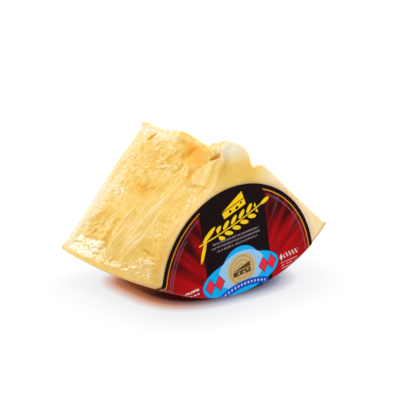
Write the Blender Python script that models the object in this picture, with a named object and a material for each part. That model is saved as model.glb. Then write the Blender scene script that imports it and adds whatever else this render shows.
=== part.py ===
"""A chunk broken out of a wheel of parmesan cheese, standing on its rind, with a round label folded over its
rim.

Metres, +Z up. The wheel's axis lies along Y and its labelled flat face looks towards -Y. Shapes are worked
out in wheel coordinates: x to the right, z up and y to the back, from the middle of the wheel's labelled
face. The origin of the part is the middle of its footprint's box, on the surface that it stands on."""

import math

import bmesh
import bpy
import numpy as np

# The wheel
WHEEL_RADIUS = 0.127
WHEEL_THICKNESS = 0.1252
RIND_BULGE = 0.0042  # how far the middle of the rind stands out past its rims
BACK_GROWTH = 0.0057  # how much larger the back rim is than the labelled one
RIM_ROUND = 0.0026
FLAT_DEPTH = 0.0026  # how far the belly of the rind is pressed flat where the chunk stands
FLAT_EDGE = 0.0008  # the height over which the flat's edge rounds up into the belly

# The chunk
LEFT_ANGLE_BACK = math.radians(-35.9)  # angles about the wheel's axis, from straight down towards +x
RIGHT_ANGLE_FRONT = math.radians(45.8)
RIGHT_ANGLE_BACK = math.radians(44.0)
RIGHT_CORNER_WORN = 0.0005
RIGHT_CORNER_SHARE = 0.06  # of the rind's width, over which it wears off
CUT_LENGTH = 0.105  # from the rind to the crest, along the left cut
SCORED_BAND = 0.0080  # the smooth margin that the knife left round each broken face
BACK_CREST_LEFT = (-0.0020, -0.0205)
RIDGE_BY_LABEL = ((-0.0198, -0.0385), (-0.0135, -0.0295), (-0.0090, -0.0205))  # up to the knob
ANGLES_BY_LABEL = np.radians((65, 45, 28))  # where the left cut follows the label, from straight up
CREST_HEIGHTS = (  # the crest's depth from the labelled face and its height in the wheel, in millimetres
    (0, -8.4), (14, -10.0), (27, -14.4), (35.5, -18.9), (46, -17.0), (66, -13.3), (98, -16.8), (122, -15.2)
)
KNOB_DEPTHS = (22, 34)  # in millimetres: the knob ends between them
LEDGE_DROPS = ((0, 0.0), (10, 2.6), (24, 4.6), (60, 2.0))  # how far the ledge falls behind its front edge
KNOB_LEAN = 0.0036  # how far the knob's top leans back from the flat labelled face
KNOB_SIDE_LEAN = 0.0030  # how far its left side leans back
KNOB_FOOT_Z = -0.0360
KNOB_TOP_Z = -0.0084
KNOB_SIDE_X = -0.001  # where that lean starts, towards the left
KNOB_SIDE_WIDTH = 0.012
KNOB_LEAN_DEPTH = 0.014
EDGE_ROUNDS = ((0.72, 0.0012), (0.92, 0.0044), (1.04, 0.0036))  # of the face's edge, along the left cut
LEDGE_ROUND = 0.0016
CORNER_FADE = 0.008  # the length over which that rounding fades in from the rind
RIGHT_ROUGHNESS = 0.0014
RIGHT_ROUGH_CELL = 0.016
RIGHT_HOLLOW = 0.0025
RELIEF_END = 0.05  # past the crest, as a share of the cut's length
LEFT_OUT = np.array([-0.79, 0.61])  # the directions that the broken faces look in, across the axis
RIGHT_OUT = np.array([0.65, 0.76])

# The label: a disc, laid on the flat face and folded over the rim on to the rind
LABEL_RADIUS = 0.0726
LABEL_CENTRE = (0.0036, -0.1139)
LABEL_MARGIN = 0.0008  # from the label's edge to the left cut
LABEL_THICKNESS = 0.0003
LABEL_GAP = 0.0003

# The row's origin in wheel coordinates
ORIGIN_X = 0.0082
ORIGIN_Y = WHEEL_THICKNESS / 2 - (LABEL_GAP + LABEL_THICKNESS) / 2

# How finely the faces are divided
RIM_STEPS = 3
SLICES = 27
RIND_STEPS = 20
LEFT_STEPS = 28
CREST_STEPS = 14
RIGHT_STEPS = 15
CAP_RINGS = 4
CAP_CENTRE = np.array([0.004, -0.070])

MM = 0.001


def smooth(x):
    """0 below 0, 1 above 1, and an S-shaped curve between."""
    x = np.clip(x, 0.0, 1.0)
    return x * x * (3.0 - 2.0 * x)


def along(x, *stops):
    """The smoothly joined value at x of stops, given as (place, value) pairs."""
    value = np.full_like(np.asarray(x, float), stops[0][1])
    for (start, low), (end, high) in zip(stops, stops[1:]):
        value = value + (high - low) * smooth((x - start) / (end - start))
    return value


def noise(u, v, cell, seed):
    """Smooth seeded unevenness between -1 and 1, with bumps about one cell across."""
    lattice = np.random.default_rng(seed).uniform(-1.0, 1.0, (64, 64))
    u, v = u / cell, v / cell
    i, j = np.floor(u).astype(int), np.floor(v).astype(int)
    fu, fv = smooth(u - i), smooth(v - j)
    low = lattice[i % 64, j % 64] * (1 - fu) + lattice[(i + 1) % 64, j % 64] * fu
    high = lattice[i % 64, (j + 1) % 64] * (1 - fu) + lattice[(i + 1) % 64, (j + 1) % 64] * fu
    return low * (1 - fv) + high * fv


def rounding(depth, radius):
    """How far a rounded edge has drawn in, at a depth below the flat face."""
    left = np.clip(radius - depth, 0.0, None)
    return radius - np.sqrt(np.clip(radius * radius - left * left, 0.0, None))


def edge_depth(y):
    """The distance to the nearer flat face."""
    return np.minimum(y, WHEEL_THICKNESS - y)


def rind_radius(y):
    """The barrel-shaped radius of the rind, before its rims are rounded."""
    s = y / WHEEL_THICKNESS
    return WHEEL_RADIUS + BACK_GROWTH * s + 4 * RIND_BULGE * s * (1 - s)


BELLY_RADIUS = float(rind_radius(np.linspace(0, WHEEL_THICKNESS, 400)).max())
FLOOR_Z = -(BELLY_RADIUS - FLAT_DEPTH)
LABEL_DISTANCE = math.hypot(*LABEL_CENTRE)
LABEL_ANGLE = math.atan2(LABEL_CENTRE[0], -LABEL_CENTRE[1])
LABEL_STACK = LABEL_GAP + LABEL_THICKNESS
# The flat spot steps up under the label, so that the label's outside lies level with the bare rind
STEP_Y = 0.0650
STEP_RUN = 0.0010


def disc_half_angle(radius, disc_radius):
    """Half the angle, about the wheel's axis, that a disc round the label's centre covers at a radius."""
    cosine = (radius**2 + LABEL_DISTANCE**2 - disc_radius**2) / (2 * radius * LABEL_DISTANCE)
    return np.arccos(np.clip(cosine, -1.0, 1.0))


def polar(radius, angle):
    return np.stack([radius * np.sin(angle), -radius * np.cos(angle)], axis=-1)


def pressed_flat(z, floor):
    """The height of a point on the belly once it is pressed flat at the floor, with a soft edge round it."""
    over = z - floor
    soft = (over + FLAT_EDGE) ** 2 / (4 * FLAT_EDGE)
    return floor + np.where(np.abs(over) < FLAT_EDGE, soft, np.maximum(over, 0.0))


def catmull_rom(knots, points, t):
    """A smooth curve through points (k, 2), which it reaches at the knots, at each t."""
    points = np.vstack([2 * points[0] - points[1], points, 2 * points[-1] - points[-2]])
    knots = np.concatenate([[2 * knots[0] - knots[1]], knots, [2 * knots[-1] - knots[-2]]])
    k = np.clip(np.searchsorted(knots, t, side="right") - 1, 1, len(knots) - 3)
    span = knots[k + 1] - knots[k]
    w = ((t - knots[k]) / span)[:, None]
    slope0 = (points[k + 1] - points[k - 1]) * (span / (knots[k + 1] - knots[k - 1]))[:, None]
    slope1 = (points[k + 2] - points[k]) * (span / (knots[k + 2] - knots[k]))[:, None]
    w2, w3 = w * w, w * w * w
    return (
        (2 * w3 - 3 * w2 + 1) * points[k] + (w3 - 2 * w2 + w) * slope0
        + (3 * w2 - 2 * w3) * points[k + 1] + (w3 - w2) * slope1
    )


def chord_lengths(points):
    steps = np.linalg.norm(np.diff(points, axis=0), axis=1)
    return np.concatenate([[0.0], np.cumsum(steps)])


def left_corner(y):
    """Where the left cut meets the rind. Near the front it keeps just outside the label's edge."""
    radius = rind_radius(y) - rounding(edge_depth(y), RIM_ROUND)
    front_radius = min(radius, WHEEL_RADIUS)
    front = LABEL_ANGLE - disc_half_angle(front_radius, LABEL_RADIUS + LABEL_MARGIN)
    start = LABEL_ANGLE - disc_half_angle(WHEEL_RADIUS, LABEL_RADIUS + LABEL_MARGIN)
    return radius, front + (LEFT_ANGLE_BACK - start) * y / WHEEL_THICKNESS


def right_corner(y):
    s = y / WHEEL_THICKNESS
    radius = rind_radius(y) - rounding(edge_depth(y), RIM_ROUND)
    return radius - RIGHT_CORNER_WORN, RIGHT_ANGLE_FRONT + (RIGHT_ANGLE_BACK - RIGHT_ANGLE_FRONT) * s


def left_edge(y):
    """The points that the left cut passes at depth y, from the rind up to the crest, before its relief."""
    corner = polar(*left_corner(y))
    beside_label = [
        np.array(LABEL_CENTRE) + (LABEL_RADIUS + LABEL_MARGIN) * np.array([-math.sin(a), math.cos(a)])
        for a in ANGLES_BY_LABEL
    ]
    front = np.array([*beside_label, *RIDGE_BY_LABEL])
    start = polar(WHEEL_RADIUS, left_corner(RIM_ROUND)[1])
    chord = front[-1] - start
    knots = np.concatenate([[0.0], (front - start) @ chord / (chord @ chord)])
    back_start = polar(*left_corner(WHEEL_THICKNESS - RIM_ROUND))
    back = back_start + (np.array(BACK_CREST_LEFT) - back_start) * knots[1:, None]
    s = y / WHEEL_THICKNESS
    return knots, np.vstack([corner, front * (1 - s) + back * s])


def crest(y):
    """The points over the top of the chunk, from the left cut to the right one: a knob in front, a notch
    behind it and a ridge that runs to the back."""
    depth = y / MM
    knob = float(along(depth, (KNOB_DEPTHS[0], 1.0), (KNOB_DEPTHS[1], 0.0)))
    top = float(along(depth, *CREST_HEIGHTS))
    behind = float(along(depth, *LEDGE_DROPS))
    middle = float(along(depth, (0, -1.0), (30, 0.0), (120, 1.5)))
    left = (middle - 2.6 - 4.4 * knob, top - 1.4 - 2.8 * knob)
    right = (middle + 2.6 + 6.0 * knob, top - 1.4 - 2.4 * knob)
    side = (6.5 + 6.3 * knob, top - 3.5 - 7.1 * knob)
    foot = (13.0 + 3.0 * knob, top - 9.0 - 12.2 * knob - 0.8 * behind)
    ledge = (26.0 - knob, -32.6 + 3.0 * knob - behind)
    return np.array([left, (middle, top), right, side, foot, ledge]) * MM


def right_edge(y):
    """The points down the right cut, from the ledge beside the knob to the rind."""
    corner = polar(*right_corner(y))
    top = crest(y)[-1]
    way = corner - top
    side = np.array([way[1], -way[0]]) / np.linalg.norm(way)
    hollow = RIGHT_HOLLOW * (0.5 + 0.5 * noise(y, 0.0, 0.031, 5)) * smooth(edge_depth(y) / 0.015)
    return np.array([top + 0.40 * way + side * hollow, top + 0.76 * way + side * hollow, corner])


def line_distance(u, v, path):
    """The distance from each place on the broken face to a path of straight runs."""
    path = np.array(path) * MM
    nearest = np.full(np.broadcast(u, v).shape, np.inf)
    for start, end in zip(path, path[1:]):
        way = end - start
        t = np.clip(((u - start[0]) * way[0] + (v - start[1]) * way[1]) / (way @ way), 0, 1)
        nearest = np.minimum(nearest, np.hypot(u - start[0] - t * way[0], v - start[1] - t * way[1]))
    return nearest


def dome(u, v, centre, radii, turn):
    """1 in the middle of an oval and 0 outside it, turned by an angle in degrees."""
    du, dv = u - centre[0] * MM, v - centre[1] * MM
    c, s = math.cos(math.radians(turn)), math.sin(math.radians(turn))
    reach = np.hypot((du * c + dv * s) / (radii[0] * MM), (-du * s + dv * c) / (radii[1] * MM))
    return 1 - smooth(reach)


# The broken left face's relief, in millimetres, as (depth from the labelled face, height above the rind).
# Ridges and cracks are paths with a width and a height; ridges fan out from the rind towards the knob
LINES = [
    ([(77, 16), (69, 38), (66, 52)], 3.0, 0.9),
    ([(66, 50), (60, 62), (54, 76)], 3.0, 0.9),
    ([(62, 27), (57, 41), (53, 55), (51, 74)], 3.0, 0.9),
    ([(57, 20), (47, 40), (44, 60), (39, 78)], 3.4, 1.0),
    ([(77, 40), (79, 28), (76, 6)], 3.4, -1.0),
    ([(38, 19), (15, 20)], 2.6, -1.0),
    ([(110, 99), (99, 106)], 2.8, -0.6),
    ([(55, 95), (42, 105)], 3.0, -0.8),
    ([(22, 101), (8, 108)], 2.6, -0.9),
    ([(113, 15.8), (82, 17.5)], 2.6, -0.6),
]
# Hollows and, with a height above 0, swellings: centre, radii, turn and height
DOMES = [
    ((97, 27), (19, 15), 8, -1.6),
    ((69, 63), (15, 8), 10, -1.3),
    ((61, 41), (5, 7), 0, -0.6),
    ((74, 46), (8, 6), 40, -0.9),
    ((34, 85), (6, 5), 30, -0.8),
    ((20, 28), (16, 9), 0, -0.6),
    ((43, 101), (22, 12), -10, -1.3),
    ((20, 90), (13, 11), 0, 1.2),
]
UNEVENNESS = ((0.0007, 0.024, 11), (0.0004, 0.010, 12))  # height, size and seed of the bumps all over
SUNK = 0.0004
MARGIN_SOFT = 0.006


def broken_relief(u, v):
    """How far the broken left face stands out, at depth u from the labelled face and height v above the
    rind."""
    relief = sum(height * noise(u, v, cell, seed) for height, cell, seed in UNEVENNESS) - SUNK
    for path, width, height in LINES:
        relief += height * MM * np.exp(-((line_distance(u, v, path) / (width * MM)) ** 2))
    for centre, radii, turn, height in DOMES:
        relief += height * MM * dome(u, v, centre, radii, turn)
    inner = SCORED_BAND / 2
    return relief * smooth((v - inner) / MARGIN_SOFT) * smooth((edge_depth(u) - inner) / MARGIN_SOFT)


def outline(y):
    """The chunk's closed outline at depth y: along the rind from right to left, up the left cut, over the
    crest and down the right cut. Gives the points and the rounding that each has at the flat faces' edge."""
    floor = FLOOR_Z + (LABEL_STACK if y < STEP_Y else 0.0)
    (left_radius, left_angle), (right_radius, right_angle) = left_corner(y), right_corner(y)
    t = np.linspace(0.0, 1.0, RIND_STEPS + 1)
    radius = left_radius + (right_radius - left_radius) * smooth(1 - t / RIGHT_CORNER_SHARE)
    rind = polar(radius, right_angle + (left_angle - right_angle) * t)
    rind[:, 1] = pressed_flat(rind[:, 1], floor)

    knots, left = left_edge(y)
    top, right = crest(y), right_edge(y)
    points = np.vstack([left, top, right])
    top_knots = knots[-1] + chord_lengths(points[len(left) - 1:])[1:] / CUT_LENGTH
    knots = np.concatenate([knots, top_knots])
    ledge, end = top_knots[len(top) - 1], knots[-1]
    t_left = np.linspace(0.0, 1.0, LEFT_STEPS + 1)[1:]
    t_top = np.linspace(1.0, ledge, CREST_STEPS + 1)[1:]
    t_right = np.linspace(ledge, end, RIGHT_STEPS + 1)[1:-1]
    t = np.concatenate([t_left, t_top, t_right])
    cut = catmull_rom(knots, points, t)

    height, to_end = t * CUT_LENGTH, (end - t) * CUT_LENGTH
    relief = broken_relief(np.full_like(t, y), np.minimum(height, CUT_LENGTH))
    relief *= 1 - smooth((t - 1.0) / RELIEF_END)
    rough = RIGHT_ROUGHNESS * noise(y, height, RIGHT_ROUGH_CELL, 21) * smooth(edge_depth(y) / 0.012)
    rough *= smooth((t - ledge) / 0.08) * smooth((to_end - 0.006) / 0.008)
    cut = cut + relief[:, None] * LEFT_OUT + rough[:, None] * RIGHT_OUT

    edge = along(t, *EDGE_ROUNDS, (ledge, LEDGE_ROUND)) * smooth(np.minimum(height, to_end) / CORNER_FADE)
    return np.vstack([rind, cut]), np.concatenate([np.zeros(len(rind)), edge])


def slice_depths():
    """The depths of the outlines, close together where the rims are rounded."""
    rim = RIM_ROUND * (1 - np.cos(np.linspace(0, math.pi / 2, RIM_STEPS + 1)))
    front = np.linspace(RIM_ROUND, STEP_Y - STEP_RUN, SLICES // 2 + 1)[1:]
    back = np.linspace(STEP_Y, WHEEL_THICKNESS - RIM_ROUND, SLICES // 2)
    return np.concatenate([rim, front, back, WHEEL_THICKNESS - rim[::-1][1:]])


def draw_in(points, rounds, depth):
    """Moves an outline inwards by what its rounded edge takes off at this depth below a flat face."""
    way = np.roll(points, -1, axis=0) - np.roll(points, 1, axis=0)
    outward = np.stack([-way[:, 1], way[:, 0]], axis=1) / np.linalg.norm(way, axis=1)[:, None]
    return points - outward * rounding(depth, np.maximum(rounds, 1e-6))[:, None]


def to_row(x, y, z):
    """A place in wheel coordinates, in the part's own frame."""
    return (x - ORIGIN_X, y - ORIGIN_Y, z - FLOOR_Z)


def material(name, colour, roughness):
    made = bpy.data.materials.new(name)
    made.use_nodes = True
    shader = made.node_tree.nodes["Principled BSDF"]
    shader.inputs["Base Color"].default_value = (*colour, 1.0)
    shader.inputs["Roughness"].default_value = roughness
    made.diffuse_color = (*colour, 1.0)
    return made


def make_object(name, vertices, faces, finish):
    """One closed body, triangulated, with its faces pointing out."""
    mesh = bpy.data.meshes.new(name)
    body = bmesh.new()
    corners = [body.verts.new(v) for v in vertices]
    for face in faces:
        body.faces.new([corners[i] for i in face])
    bmesh.ops.triangulate(body, faces=body.faces[:])
    bmesh.ops.recalc_face_normals(body, faces=body.faces[:])
    body.to_mesh(mesh)
    body.free()
    mesh.shade_smooth()
    mesh.set_sharp_from_angle(angle=math.radians(40))
    mesh.materials.append(finish)
    made = bpy.data.objects.new(name, mesh)
    bpy.context.scene.collection.objects.link(made)
    return made


def leaned_back(x, z, y):
    """How far the front of the knob leans back, above the label and to the left, which rounds it off."""
    rise = np.clip((z - KNOB_FOOT_Z) / (KNOB_TOP_Z - KNOB_FOOT_Z), 0.0, 1.0)
    aside = np.clip((KNOB_SIDE_X - x) / KNOB_SIDE_WIDTH, 0.0, 1.2)
    lean = KNOB_LEAN * rise**2 + KNOB_SIDE_LEAN * aside**2 * smooth(rise / 0.4)
    return lean * (1 - smooth(y / KNOB_LEAN_DEPTH))


def make_cheese():
    """The chunk: outlines stacked from the labelled face to the back one. Shrinking rings close each end."""
    slices = []
    for y in slice_depths():
        points, rounds = outline(y)
        slices.append((y, draw_in(points, rounds, edge_depth(y))))
    shares = [1 - k / CAP_RINGS for k in range(1, CAP_RINGS)]
    for k in (0, -1):
        y, points = slices[k]
        shrunk = [(y, CAP_CENTRE + (points - CAP_CENTRE) * share) for share in shares]
        slices = [*shrunk[::-1], *slices] if k == 0 else [*slices, *shrunk]
    front, back = slices[0][0], slices[-1][0]
    count = len(slices[0][1])
    vertices = [to_row(x, y + leaned_back(x, z, y), z) for y, points in slices for x, z in points]
    vertices += [to_row(CAP_CENTRE[0], y, CAP_CENTRE[1]) for y in (front, back)]
    front_middle, back_middle = len(vertices) - 2, len(vertices) - 1
    last = (len(slices) - 1) * count
    faces = []
    for i in range(count):
        k = (i + 1) % count
        faces.append((front_middle, i, k))
        faces.append((back_middle, last + k, last + i))
        for start in range(0, last, count):
            faces.append((start + i, start + count + i, start + count + k, start + k))
    return make_object("cheese", vertices, faces, material("cheese", (0.86, 0.66, 0.30), 0.42))


def label_place(reach, angle, lift):
    """Where a point of the label lies, lift above the cheese. Its reach is its distance from the wheel's
    axis when the label is spread flat: up to the rim it lies on the flat face, and past it on the rind."""
    flat_reach = WHEEL_RADIUS - RIM_ROUND
    turn = (reach - flat_reach) / RIM_ROUND
    if turn <= 0:
        return to_row(reach * math.sin(angle), -lift, -reach * math.cos(angle))
    if turn < math.pi / 2:
        y = RIM_ROUND * (1 - math.cos(turn))
        radius = float(rind_radius(y)) - RIM_ROUND * (1 - math.sin(turn)) + lift * math.sin(turn)
        depth = y - lift * math.cos(turn)
    else:
        depth = RIM_ROUND + reach - flat_reach - RIM_ROUND * math.pi / 2
        radius = float(rind_radius(depth)) + lift
    z = float(pressed_flat(-radius * math.cos(angle), FLOOR_Z + LABEL_STACK - lift))
    return to_row(radius * math.sin(angle), depth, z)


def make_label():
    """The label: a thin disc, in rows that follow the rim that it is folded over."""
    rows_on_face, rows_on_rim, rows_on_rind, columns = 12, 4, 10, 22
    nearest, farthest = LABEL_DISTANCE - LABEL_RADIUS, LABEL_DISTANCE + LABEL_RADIUS
    rim_start = WHEEL_RADIUS - RIM_ROUND
    rim_end = rim_start + RIM_ROUND * math.pi / 2
    on_face = nearest + (rim_start - nearest) * (1 - np.cos(np.linspace(0, math.pi / 2, rows_on_face + 1)))
    on_rim = np.linspace(rim_start, rim_end, rows_on_rim + 1)[1:]
    on_rind = rim_end + (farthest - rim_end) * np.sin(np.linspace(0, math.pi / 2, rows_on_rind + 1))[1:]
    reaches = np.concatenate([on_face, on_rim, on_rind])[1:-1]

    vertices = []
    for lift in (LABEL_GAP, LABEL_STACK):
        vertices.append(label_place(nearest, LABEL_ANGLE, lift))
        for reach in reaches:
            half = float(disc_half_angle(reach, LABEL_RADIUS))
            for angle in np.linspace(LABEL_ANGLE - half, LABEL_ANGLE + half, columns + 1):
                vertices.append(label_place(reach, angle, lift))
        vertices.append(label_place(farthest, LABEL_ANGLE, lift))

    layer = len(vertices) // 2
    width = columns + 1

    def at(row, column):
        return 1 + row * width + column

    faces = []
    last = len(reaches) - 1
    for row in range(last):
        for column in range(columns):
            near, far = at(row, column), at(row + 1, column)
            faces.append((near, near + 1, far + 1, far))
    for column in range(columns):
        faces.append((0, at(0, column + 1), at(0, column)))
        faces.append((layer - 1, at(last, column), at(last, column + 1)))
    faces += [tuple(i + layer for i in face[::-1]) for face in faces]
    left = [at(row, 0) for row in range(last + 1)]
    right = [at(row, columns) for row in range(last + 1)]
    rim = [0, *left, layer - 1, *right[::-1]]
    for a, b in zip(rim, rim[1:] + rim[:1]):
        faces.append((a, b, b + layer, a + layer))
    return make_object("label", vertices, faces, material("label", (0.30, 0.01, 0.02), 0.25))


for old in list(bpy.data.objects):
    bpy.data.objects.remove(old, do_unlink=True)
make_cheese()
make_label()
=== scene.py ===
"""The looks of a chunk of parmesan: broken paste, smooth rind and a glossy printed label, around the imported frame.

Metres, +Z up, in the part's own frame. Shapes are worked out in wheel coordinates, as the solids are: x to the
right, z up and y to the back, from the middle of the wheel's labelled flat face. Places on the broken left face
and on the label are given in millimetres."""

import math

import bpy
import numpy as np
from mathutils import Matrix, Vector


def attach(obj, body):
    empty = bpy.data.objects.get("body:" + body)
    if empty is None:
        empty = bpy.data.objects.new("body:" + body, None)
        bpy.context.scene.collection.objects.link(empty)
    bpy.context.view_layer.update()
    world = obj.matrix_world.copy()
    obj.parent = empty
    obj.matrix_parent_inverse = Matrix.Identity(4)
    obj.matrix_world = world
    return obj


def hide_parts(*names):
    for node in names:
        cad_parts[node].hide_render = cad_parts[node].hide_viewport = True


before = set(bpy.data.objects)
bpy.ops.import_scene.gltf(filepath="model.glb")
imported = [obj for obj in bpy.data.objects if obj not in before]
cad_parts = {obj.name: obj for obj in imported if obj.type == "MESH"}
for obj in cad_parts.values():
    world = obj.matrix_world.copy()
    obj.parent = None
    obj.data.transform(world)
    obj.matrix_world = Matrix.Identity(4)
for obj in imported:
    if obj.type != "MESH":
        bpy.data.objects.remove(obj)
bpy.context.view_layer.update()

MM = 0.001

# ---------------------------------------------------------------- the solid's own sizes

WHEEL_RADIUS = 0.127
WHEEL_THICKNESS = 0.1252
RIND_BULGE = 0.0042  # how far the middle of the rind stands out past its rims
BACK_GROWTH = 0.0057  # how much larger the back rim is than the labelled one
RIM_ROUND = 0.0026
FLAT_DEPTH = 0.0026  # how far the belly of the rind is pressed flat where the chunk stands
FLAT_EDGE = 0.0008  # the height over which the flat's edge rounds up into the belly

LEFT_ANGLE_BACK = math.radians(-35.9)  # angles about the wheel's axis, from straight down towards +x
RIGHT_ANGLE_FRONT = math.radians(45.8)
RIGHT_ANGLE_BACK = math.radians(44.0)
RIGHT_CORNER_WORN = 0.0005
CUT_LENGTH = 0.105  # from the rind to the crest, along the left cut
SCORED_BAND = 0.0080  # the smooth margin that the knife left round each broken face
BACK_CREST_LEFT = (-0.0020, -0.0205)

LABEL_RADIUS = 0.0726
LABEL_CENTRE = (0.0036, -0.1139)
LABEL_MARGIN = 0.0008  # from the label's edge to the left cut
LABEL_THICKNESS = 0.0003
LABEL_GAP = 0.0003
LABEL_TILT = math.radians(8.5)  # the print's own up, turned to the left

STEP_Y = 0.0650  # in front of it the flat spot lies higher by the label's thickness
STEP_RUN = 0.0010

# How finely the chunk is divided
RIM_STEPS = 6
SLICES = 224
RIND_STEPS = 40
LEFT_STEPS = 226
CREST_STEPS = 52
RIGHT_STEPS = 56
CAP_RINGS = 12


# ---------------------------------------------------------------- curves and noise

def smooth(x):
    """0 below 0, 1 above 1, and an S-shaped curve between."""
    x = np.clip(x, 0.0, 1.0)
    return x * x * (3.0 - 2.0 * x)


def along(x, *stops):
    """The smoothly joined value at x of stops, given as (place, value) pairs."""
    value = np.full_like(np.asarray(x, float), stops[0][1])
    for (start, low), (end, high) in zip(stops, stops[1:]):
        value = value + (high - low) * smooth((x - start) / (end - start))
    return value


def noise(u, v, cell, seed):
    """Smooth seeded unevenness between -1 and 1, with bumps about one cell across."""
    lattice = np.random.default_rng(seed).uniform(-1.0, 1.0, (64, 64))
    u, v = u / cell, v / cell
    i, j = np.floor(u).astype(int), np.floor(v).astype(int)
    fu, fv = smooth(u - i), smooth(v - j)
    low = lattice[i % 64, j % 64] * (1 - fu) + lattice[(i + 1) % 64, j % 64] * fu
    high = lattice[i % 64, (j + 1) % 64] * (1 - fu) + lattice[(i + 1) % 64, (j + 1) % 64] * fu
    return low * (1 - fv) + high * fv


def rounding(depth, radius):
    """How far a rounded edge has drawn in, at a depth below the flat face."""
    left = np.clip(radius - depth, 0.0, None)
    return radius - np.sqrt(np.clip(radius * radius - left * left, 0.0, None))


def edge_depth(y):
    """The distance to the nearer flat face."""
    return np.minimum(y, WHEEL_THICKNESS - y)


def rind_radius(y):
    """The barrel-shaped radius of the rind, before its rims are rounded."""
    s = y / WHEEL_THICKNESS
    return WHEEL_RADIUS + BACK_GROWTH * s + 4 * RIND_BULGE * s * (1 - s)


BELLY_RADIUS = float(rind_radius(np.linspace(0, WHEEL_THICKNESS, 400)).max())
FLOOR_Z = -(BELLY_RADIUS - FLAT_DEPTH)
LABEL_DISTANCE = math.hypot(*LABEL_CENTRE)
LABEL_ANGLE = math.atan2(LABEL_CENTRE[0], -LABEL_CENTRE[1])
LABEL_STACK = LABEL_GAP + LABEL_THICKNESS
ORIGIN_X = 0.0082
ORIGIN_Y = WHEEL_THICKNESS / 2 - (LABEL_GAP + LABEL_THICKNESS) / 2


def to_row(x, y, z):
    """Places in wheel coordinates, in the part's own frame."""
    return np.stack(np.broadcast_arrays(x - ORIGIN_X, y - ORIGIN_Y, z - FLOOR_Z), axis=-1)


def disc_half_angle(radius, disc_radius):
    """Half the angle, about the wheel's axis, that a disc round the label's centre covers at a radius."""
    cosine = (radius**2 + LABEL_DISTANCE**2 - disc_radius**2) / (2 * radius * LABEL_DISTANCE)
    return np.arccos(np.clip(cosine, -1.0, 1.0))


def polar(radius, angle):
    return np.stack([radius * np.sin(angle), -radius * np.cos(angle)], axis=-1)


def pressed_flat(z, floor):
    """The height of a point on the belly after it is pressed flat at the floor, with a soft edge round the flat."""
    over = z - floor
    soft = (over + FLAT_EDGE) ** 2 / (4 * FLAT_EDGE)
    return floor + np.where(np.abs(over) < FLAT_EDGE, soft, np.maximum(over, 0.0))


def catmull_rom(knots, points, t):
    """A smooth curve through points (k, 2), which it reaches at the knots, at each t."""
    points = np.vstack([2 * points[0] - points[1], points, 2 * points[-1] - points[-2]])
    knots = np.concatenate([[2 * knots[0] - knots[1]], knots, [2 * knots[-1] - knots[-2]]])
    k = np.clip(np.searchsorted(knots, t, side="right") - 1, 1, len(knots) - 3)
    span = knots[k + 1] - knots[k]
    w = ((t - knots[k]) / span)[:, None]
    slope0 = (points[k + 1] - points[k - 1]) * (span / (knots[k + 1] - knots[k - 1]))[:, None]
    slope1 = (points[k + 2] - points[k]) * (span / (knots[k + 2] - knots[k]))[:, None]
    w2, w3 = w * w, w * w * w
    return (
        (2 * w3 - 3 * w2 + 1) * points[k] + (w3 - 2 * w2 + w) * slope0
        + (3 * w2 - 2 * w3) * points[k + 1] + (w3 - w2) * slope1
    )


def chord_lengths(points):
    steps = np.linalg.norm(np.diff(points, axis=0), axis=1)
    return np.concatenate([[0.0], np.cumsum(steps)])


# ---------------------------------------------------------------- the chunk's outline

def left_corner(y):
    """Where the left cut meets the rind. Near the front it keeps just outside the label's edge."""
    radius = rind_radius(y) - rounding(edge_depth(y), RIM_ROUND)
    front_radius = min(radius, WHEEL_RADIUS)
    front = LABEL_ANGLE - disc_half_angle(front_radius, LABEL_RADIUS + LABEL_MARGIN)
    start = LABEL_ANGLE - disc_half_angle(WHEEL_RADIUS, LABEL_RADIUS + LABEL_MARGIN)
    return radius, front + (LEFT_ANGLE_BACK - start) * y / WHEEL_THICKNESS


def right_corner(y):
    s = y / WHEEL_THICKNESS
    radius = rind_radius(y) - rounding(edge_depth(y), RIM_ROUND)
    return radius - RIGHT_CORNER_WORN, RIGHT_ANGLE_FRONT + (RIGHT_ANGLE_BACK - RIGHT_ANGLE_FRONT) * s


def left_edge(y):
    """The points that the left cut passes at depth y, from the rind up to the crest, before its relief."""
    corner = polar(*left_corner(y))
    label = np.array(LABEL_CENTRE)
    round_label = [
        label + (LABEL_RADIUS + LABEL_MARGIN) * np.array([-math.sin(a), math.cos(a)])
        for a in np.radians([65, 45, 28])
    ]
    # Above the label the edge turns up along a ridge to the knob
    front = np.array([*round_label, (-0.0198, -0.0385), (-0.0135, -0.0295), (-0.0090, -0.0205)])
    start = polar(WHEEL_RADIUS, left_corner(RIM_ROUND)[1])
    chord = front[-1] - start
    knots = np.concatenate([[0.0], (front - start) @ chord / (chord @ chord)])
    back_start = polar(*left_corner(WHEEL_THICKNESS - RIM_ROUND))
    back = back_start + (np.array(BACK_CREST_LEFT) - back_start) * knots[1:, None]
    s = y / WHEEL_THICKNESS
    return knots, np.vstack([corner, front * (1 - s) + back * s])


def crest(y):
    """The points over the top of the chunk, from the left cut to the right one: a knob in front, a notch behind
    it and a ridge that runs to the back."""
    depth = y / MM
    knob = float(along(depth, (22, 1.0), (34, 0.0)))
    top = float(along(
        depth, (0, -8.4), (14, -10.0), (27, -14.4), (35.5, -18.9), (46, -17.0), (66, -13.3), (98, -16.8), (122, -15.2)
    ))
    middle = float(along(depth, (0, -1.0), (30, 0.0), (120, 1.5)))
    behind = float(along(depth, (0, 0.0), (10, 2.6), (24, 4.6), (60, 2.0)))
    left = (middle - 2.6 - 4.4 * knob, top - 1.4 - 2.8 * knob)
    right = (middle + 2.6 + 6.0 * knob, top - 1.4 - 2.4 * knob)
    side = (6.5 + 6.3 * knob, top - 3.5 - 7.1 * knob)
    foot = (13.0 + 3.0 * knob, top - 9.0 - 12.2 * knob - 0.8 * behind)
    ledge = (26.0 - knob, -32.6 + 3.0 * knob - behind)
    return np.array([left, (middle, top), right, side, foot, ledge]) * MM


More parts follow.
